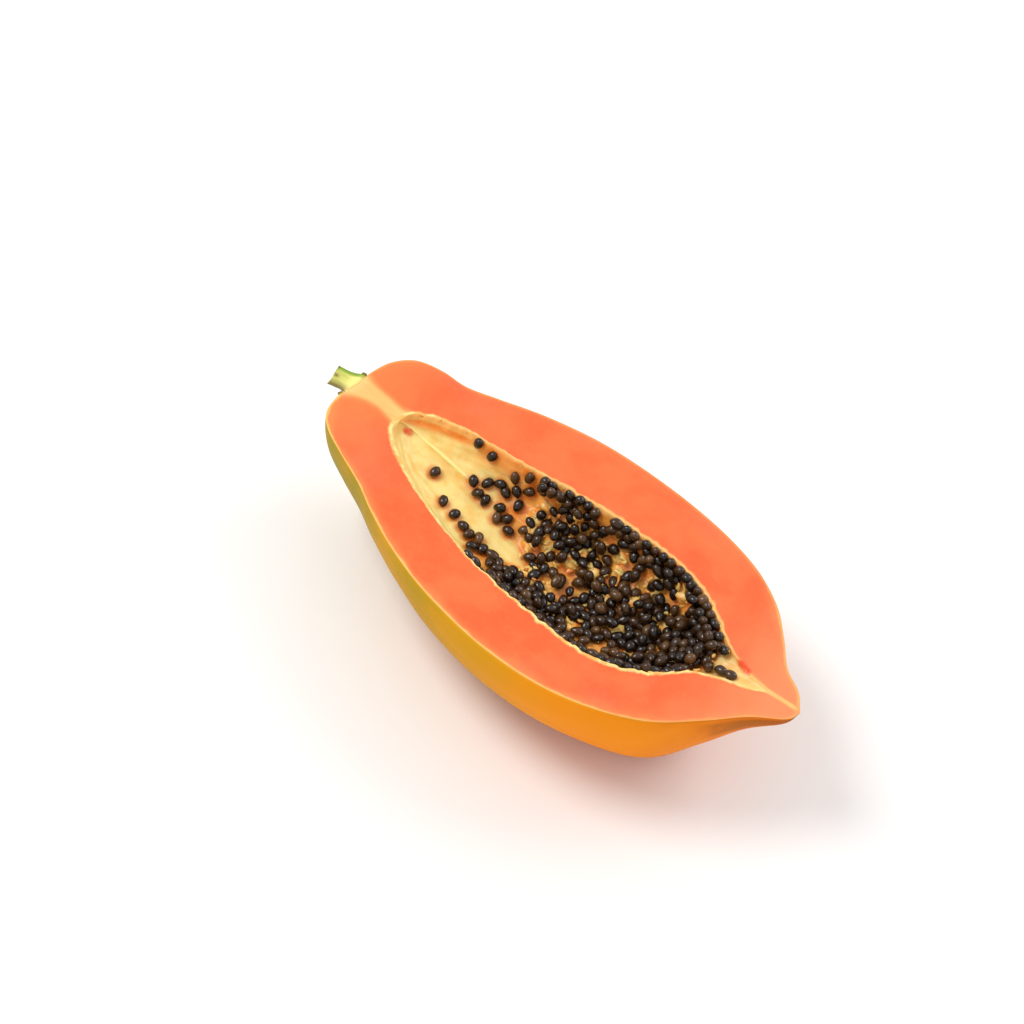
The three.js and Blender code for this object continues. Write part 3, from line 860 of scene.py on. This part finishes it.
def make_seeds():
    """The mass of seeds and the single ones, as one piece for each side and stretch."""
    rng = np.random.default_rng(21)
    lone = [(station_at(x, degrees), degrees, LONE_HEIGHT) for x, degrees, _ in LONE_SEEDS]
    settled = zip(settle_seeds(rng), np.array(lone).T)
    u, turn, lift = (np.append(crowd, single) for crowd, single in settled)
    angle = np.radians(turn)
    place = lining_at(u, angle)
    along, inward = inward_at(u, angle)
    centre = place + inward * lift[:, None]
    centre[:, 2] = np.minimum(centre[:, 2], -SEED_HEADROOM)
    shape, shape_faces = egg()
    material = seed_material()
    groups = {}
    for i in range(len(u)):
        x = place[i, 0]
        side = next((s for s, (a, b) in SIDES.items() if a <= turn[i] <= b), "near")
        stretch = next(s for s, (a, b) in STRETCHES.items() if a <= x <= b)
        spin, tilt = rng.uniform(0, math.pi), rng.normal(0, 0.3)
        size = np.array(SEED_SIZE) * rng.normal(1, 0.07) * (rng.normal(1.02, 0.05), 1, 1)
        if i >= SEED_COUNT:
            spin, tilt = math.radians(LONE_SEEDS[i - SEED_COUNT][2]), 0
            size = np.array(SEED_SIZE)
        if centre[i, 2] > -SEED_HEADROOM - 1.5:
            tilt *= 0.3
        side_way = np.cross(inward[i], along[i])
        axis = along[i] * math.cos(spin) + side_way * math.sin(spin)
        axis = axis * math.cos(tilt) + inward[i] * math.sin(tilt)
        lumps = 1 + 0.05 * ripple(shape * 5, 3.0, rng, 6)[:, None]
        body = turned_body(shape, size, lumps, axis, inward[i], centre[i])
        groups.setdefault((side, stretch), []).append((body, rng.uniform(0, 1)))
    for (side, stretch), seeds in groups.items():
        bodies, tones = zip(*seeds)
        name = f"seeds_{side}_{stretch}"
        piece = join_shells(f"fine_{name}", bodies, tones, shape_faces, material)
        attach(piece, "root")
        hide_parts(name)


def shred_spots(rng):
    """Shreds as (x, degrees, height over the lining, length, width, tone)."""
    spots = []
    for x, degrees, radius in all_gaps():
        for _ in range(GAP_SHREDS):
            spots.append((x + rng.normal(0, 0.4 * radius), degrees + rng.normal(0, radius),
                          rng.uniform(1.4, 2.8), rng.uniform(3, 5.5), rng.uniform(1.2, 2.2),
                          rng.uniform(0, 0.6)))
    front, end = np.array(SEED_FRONT, float).T, np.array(SEED_END, float).T
    for _ in range(LOOSE_SHREDS):
        degrees = rng.uniform(4, 118)
        low, high = np.interp(degrees, *front), np.interp(degrees, *end)
        spots.append((rng.uniform(low + 1, high), degrees, rng.uniform(0.6, 3.4),
                      rng.uniform(2, 4), rng.uniform(1.3, 2.2), rng.uniform(0.2, 1)))
    for start, stop, degrees, pace in RIM_SHREDS:
        for x in np.arange(start, stop, pace):
            spots.append((x + rng.uniform(-1.5, 1.5), degrees + rng.uniform(-1, 1),
                          rng.uniform(-0.2, 0.4), rng.uniform(2, 4), rng.uniform(1.0, 1.8),
                          rng.uniform(0, 0.8)))
    return spots


def make_pulp():
    """Shreds of wet pulp between the seeds, in the gaps and along the torn rim."""
    rng = np.random.default_rng(41)
    spots = shred_spots(rng)
    shape, shape_faces = egg(10, 8)
    bodies = []
    for x, degrees, height, length, width, _ in spots:
        u, angle = np.array([station_at(x, degrees)]), np.array([math.radians(degrees)])
        along, inward = (v[0] for v in inward_at(u, angle))
        centre = lining_at(u, angle)[0] + inward * height
        at_rim = min(degrees, 180 - degrees) < 4.5
        spin = rng.normal(0, 0.35) if at_rim else rng.uniform(0, math.pi)
        centre[2] = min(centre[2], -0.25 if at_rim else -1.0)
        size = np.array((length, width, rng.uniform(0.9, 1.4)))
        lumps = 1 + 0.22 * ripple(shape * size, 1.9, rng, 7)[:, None]
        bent = shape.copy()
        bent[:, 1] += rng.normal(0, 0.5) * shape[:, 0]**2 * length / width
        bent[:, 2] += rng.uniform(-0.2, 0.9) * (shape[:, 0]**2 - 0.08)
        axis = along * math.cos(spin) + np.cross(inward, along) * math.sin(spin)
        bodies.append(turned_body(bent, size, lumps, axis, inward, centre))
    tones = [tone for *_, tone in spots]
    piece = join_shells("pulp_shreds", bodies, tones, shape_faces, pulp_material())
    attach(piece, "root")


def ring_faces(first, second):
    """Quads between two rings of point numbers."""
    nexts = [*range(1, len(first)), 0]
    return [(first[b], first[a], second[a], second[b]) for a, b in enumerate(nexts)]


def make_stem():
    """The stub of stem: a half round that bends, with a flared foot, fibres and a slanted end."""
    rng = np.random.default_rng(3)
    stations, under, top = 60, 44, 20
    places = np.linspace(0, 1, stations)
    centres = curve_through(STEM_CENTRE, places)
    radii = curve_through([(r, 0) for r in STEM_RADIUS], places)[:, 0]
    headings = np.gradient(centres, axis=0)
    headings /= np.linalg.norm(headings, axis=1, keepdims=True)
    points, faces = [], []
    values = {key: [] for key in ("cut", "green", "shade", "brown")}

    def add(place, **known):
        """The numbers of new points, whose values are 0 unless known."""
        start = len(points)
        points.extend(place)
        for key, numbers in values.items():
            numbers.extend(np.broadcast_to(known.get(key, 0.0), len(place)))
        return list(range(start, len(points)))

    loops = []
    for i, u in enumerate(places):
        angles = np.linspace(0, math.pi, under)
        wave = 1 + 0.035 * np.sin(angles * 9 + 1.3) + 0.02 * np.sin(angles * 17 + 3 * u)
        across = radii[i] * wave * np.cos(angles)
        depth = -radii[i] * wave * np.sin(angles)
        face = np.linspace(across[-1], across[0], top + 2)[1:-1]
        hollow = -0.3 - 0.7 * (1 - (face / radii[i])**2) * (1 - smooth(0.4, 0.8, u))
        across, depth = np.append(across, face), np.append(depth, hollow)
        depth -= 0.45 * smooth(-1.6, -0.2, centres[i, 0])
        share = across / radii[i]
        slant = (0.35 * (depth + radii[i]) - 2.2) * (1 - smooth(0, 0.3, u))
        rough = 0.22 * rng.normal(size=len(across)) * (i < 2)
        ring = np.stack([centres[i, 0] - headings[i, 1] * across + slant + rough,
                         centres[i, 1] + headings[i, 0] * across, depth], -1)
        from_pith = (ring[:, :2] - PITH) / PITH_SIZE
        is_face = 1.0 * (np.arange(len(ring)) >= under)
        loops.append(add(
            ring, cut=is_face, green=smooth(0.62, 0.9, share) * (1 - 0.6 * smooth(0.6, 1, u)),
            # Painted shade on the near half of the stub, fading towards its end
            shade=smooth(0.1, 0.9, -share) * 0.85 * (1 - smooth(0.55, 0.9, u)),
            brown=0.85 * np.exp(-(from_pith**2).sum(1)) * is_face,
        ))
    for first, second in zip(loops, loops[1:]):
        faces += ring_faces(first, second)
    # Cut end, in rings that step in to the brown pith, and the hidden foot
    rim = np.array(points)[loops[0]]
    middle = rim.mean(0)
    outer = loops[0]
    for share, brown in END_RINGS:
        step_in = (PITH_DEPTH * (share < 0.4), 0, 0)
        loop = add(middle + (rim - middle) * share + step_in, cut=1.0, brown=brown)
        faces += ring_faces(loop, outer)
        outer = loop
    for loop, turn, brown in ((outer, 1, 1.0), (loops[-1], -1, 0.0)):
        middle = np.mean([points[k] for k in loop], axis=0)
        pole, = add([middle], cut=brown, brown=brown)
        faces += [(pole, a, b)[::turn] for a, b in zip(loop, loop[1:] + loop[:1])]
    shape, shape_faces = egg(8, 10)
    for centre, size in KNOBS:
        lumps = 1 + 0.15 * ripple(shape * 4, 2.0, rng, 6)[:, None]
        knob = add(shape * size * lumps + centre, green=0.4, shade=0.3, brown=0.6)
        faces += [tuple(knob[k] for k in face) for face in shape_faces]
    piece = make_object("stem_stub", points, faces, values=values, materials=(stem_material(),))
    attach(piece, "root")
    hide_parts("stem")


def make_camera():
    az, el, roll = (math.radians(v) for v in (VIEW_AZIMUTH, VIEW_ELEVATION, VIEW_ROLL))
    back = Vector((math.sin(az) * math.cos(el), -math.cos(az) * math.cos(el), math.sin(el)))
    level = Vector((math.cos(az), math.sin(az), 0))
    up = back.cross(level)
    right_turned = level * math.cos(roll) + up * math.sin(roll)
    up_turned = up * math.cos(roll) - level * math.sin(roll)
    data = bpy.data.cameras.new("photo_view")
    data.lens, data.sensor_width, data.clip_end = LENS, SENSOR, VIEW_REACH
    camera = bpy.data.objects.new("photo_view", data)
    turn = Matrix((right_turned, up_turned, back)).transposed().to_4x4()
    camera.matrix_world = Matrix.Translation((VIEW_AIM + SCAR + back * VIEW_DISTANCE) * MM) @ turn
    bpy.context.scene.collection.objects.link(camera)
    bpy.context.scene.camera = camera


def make_light(name, place, size, watts, colour):
    data = bpy.data.lights.new(name, "AREA")
    data.shape, data.size, data.energy, data.color = "DISK", size, watts, colour
    light = bpy.data.objects.new(name, data)
    light.location = place
    light.rotation_euler = (LIGHT_AIM - Vector(place)).to_track_quat("-Z", "Y").to_euler()
    bpy.context.scene.collection.objects.link(light)


def make_studio():
    s = Shader("pale_floor")
    material = s.finish(srgb(246, 246, 246), Roughness=0.8)
    mesh = bpy.data.meshes.new("floor")
    half = FLOOR_HALF
    corners = [(-half, -half, 0), (half, -half, 0), (half, half, 0), (-half, half, 0)]
    mesh.from_pydata(corners, [], [(0, 1, 2, 3)])
    mesh.materials.append(material)
    floor = bpy.data.objects.new("floor", mesh)
    floor.location.z = -FLOOR_DROP
    bpy.context.scene.collection.objects.link(floor)
    world = bpy.data.worlds.new("studio")
    world.use_nodes = True
    sky = world.node_tree.nodes["Background"].inputs
    sky["Color"].default_value = (1, 1, 1, 1)
    sky["Strength"].default_value = SKY_STRENGTH
    bpy.context.scene.world = world
    for name, settings in LIGHTS.items():
        make_light(name, *settings)
    bpy.context.scene.view_settings.view_transform = "Standard"


make_camera()
make_fruit()
make_seeds()
make_pulp()
make_stem()
make_studio()
